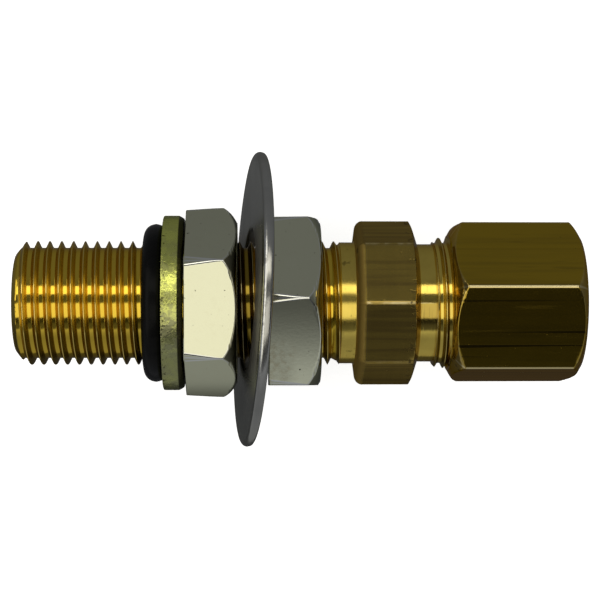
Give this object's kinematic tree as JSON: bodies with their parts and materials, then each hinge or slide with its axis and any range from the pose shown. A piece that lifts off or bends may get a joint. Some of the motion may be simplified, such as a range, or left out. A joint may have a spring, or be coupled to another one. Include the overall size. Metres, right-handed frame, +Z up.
{
  "type": "tank connector",
  "caption": "Brass pipe connector for a tank wall: threaded stub with sealing ring, hexagon locknuts and a loose flange washer, octagon grip and a compression nut end.",
  "frame": {"origin": "on the axis of the fitting, in the plane where the sealing ring meets the tank", "axes": "+X along the axis from the tank to the pipe, +Z up, +Y completes the right-handed frame"},
  "size_m": [0.0951, 0.0501, 0.0499],
  "materials": {
    "brass_body": "bright turned and forged brass",
    "rubber_ring": "matt black rubber",
    "yellow_plate": "steel with a yellow passivated zinc plate",
    "grey_plate": "steel with a bright grey plate",
    "bright_disc": "polished grey metal",
    "brass_olive": "plain turned brass",
    "brass_nut": "drawn and turned brass"
  },
  "bodies": {
    "fitting": {"fitting_body": "brass_body"},
    "seal_stack": {"o_ring": "rubber_ring", "backing_washer": "yellow_plate"},
    "seal_locknut": {"seal_locknut": "grey_plate"},
    "flange": {"flange_washer": "bright_disc"},
    "flange_locknut": {"flange_locknut": "grey_plate"},
    "olive": {"olive": "brass_olive"},
    "compression_nut": {"compression_nut": "brass_nut"}
  },
  "joints": [
    {"name": "seal_slide", "type": "slide", "parent": "fitting", "child": "seal_stack", "axis": [1, 0, 0], "range_m": [-0.018, 0], "deforming": ["o_ring"]},
    {"name": "seal_locknut_turn", "type": "hinge", "parent": "seal_stack", "child": "seal_locknut", "pos_m": [0.0114, 0, 0], "axis": [1, 0, 0], "range_deg": [-3245, 5]},
    {"name": "flange_slide", "type": "slide", "parent": "fitting", "child": "flange", "axis": [1, 0, 0], "range_m": [0, 0.003]},
    {"name": "flange_locknut_turn", "type": "hinge", "parent": "flange", "child": "flange_locknut", "pos_m": [0.0254, 0, 0], "axis": [1, 0, 0], "range_deg": [-5, 545]},
    {"name": "olive_slide", "type": "slide", "parent": "fitting", "child": "olive", "axis": [1, 0, 0], "range_m": [0, 0.009]},
    {"name": "compression_nut_turn", "type": "hinge", "parent": "olive", "child": "compression_nut", "pos_m": [0.0625, 0, 0], "axis": [1, 0, 0], "range_deg": [-5, 2165]}
  ],
  "couplings": [
    {"joint": "seal_locknut_turn", "follows": "seal_slide", "rad_per_m": 3141.6},
    {"joint": "flange_locknut_turn", "follows": "flange_slide", "rad_per_m": 3141.6},
    {"joint": "compression_nut_turn", "follows": "olive_slide", "rad_per_m": 4188.8}
  ]
}
